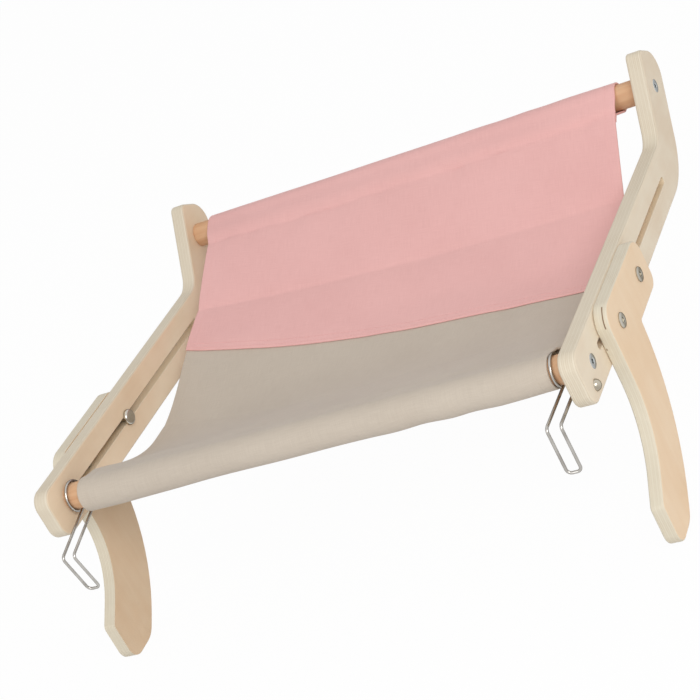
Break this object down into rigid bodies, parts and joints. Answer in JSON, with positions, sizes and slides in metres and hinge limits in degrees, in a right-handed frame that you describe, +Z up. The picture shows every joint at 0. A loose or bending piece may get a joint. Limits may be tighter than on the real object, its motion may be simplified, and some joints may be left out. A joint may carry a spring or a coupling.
{
  "type": "cat hammock",
  "caption": "Clip-on cat hammock: bent plywood arms joined by dowels carry a sagging cloth seat; wire hooks grip a board's edge and sliding legs in slots brace against it.",
  "frame": {"origin": "mid-width, where the square ends of the arms meet the board's face, level with the board's top edge under the hook wires", "axes": "+X along the dowels to the picture's right, +Y away from the board, +Z up"},
  "size_m": [0.5534, 0.4821, 0.2583],
  "materials": {
    "ply_face": "sanded pale plywood, matt",
    "ply_leg": "sanded pale plywood, matt",
    "dowel_wood": "sanded round bar, warm brown",
    "bright_steel": "nickel plated",
    "pink_cloth": "plain weave, matt",
    "beige_cloth": "plain weave, matt"
  },
  "bodies": {
    "frame": {"left_arm": "ply_face", "right_arm": "ply_face", "lower_dowel": "dowel_wood", "upper_dowel": "dowel_wood", "left_lower_screw": "bright_steel", "left_upper_screw": "bright_steel", "left_lower_insert": "bright_steel", "left_upper_insert": "bright_steel", "left_end_stud": "bright_steel", "right_lower_screw": "bright_steel", "right_upper_screw": "bright_steel", "right_lower_insert": "bright_steel", "right_upper_insert": "bright_steel", "right_end_stud": "bright_steel", "seat_lower_cloth": "beige_cloth", "seat_upper_cloth": "pink_cloth"},
    "left_leg": {"left_leg": "ply_leg", "left_clamp_bolt": "bright_steel", "left_clamp_nut": "bright_steel", "left_guide_bolt": "bright_steel"},
    "right_leg": {"right_leg": "ply_leg", "right_clamp_bolt": "bright_steel", "right_clamp_nut": "bright_steel", "right_guide_bolt": "bright_steel"},
    "left_hook": {"left_hook": "bright_steel"},
    "right_hook": {"right_hook": "bright_steel"}
  },
  "joints": [
    {"name": "left_leg_slide", "type": "slide", "parent": "frame", "child": "left_leg", "axis": [0, 1, 0], "range_m": [-0.0315, 0.174]},
    {"name": "right_leg_slide", "type": "slide", "parent": "frame", "child": "right_leg", "axis": [0, 1, 0], "range_m": [-0.0315, 0.174]},
    {"name": "left_hook_swing", "type": "hinge", "parent": "frame", "child": "left_hook", "pos_m": [0, 0.034, 0.015], "axis": [1, 0, 0], "range_deg": [-42, 108]},
    {"name": "right_hook_swing", "type": "hinge", "parent": "frame", "child": "right_hook", "pos_m": [0, 0.034, 0.015], "axis": [1, 0, 0], "range_deg": [-30, 120]}
  ]
}
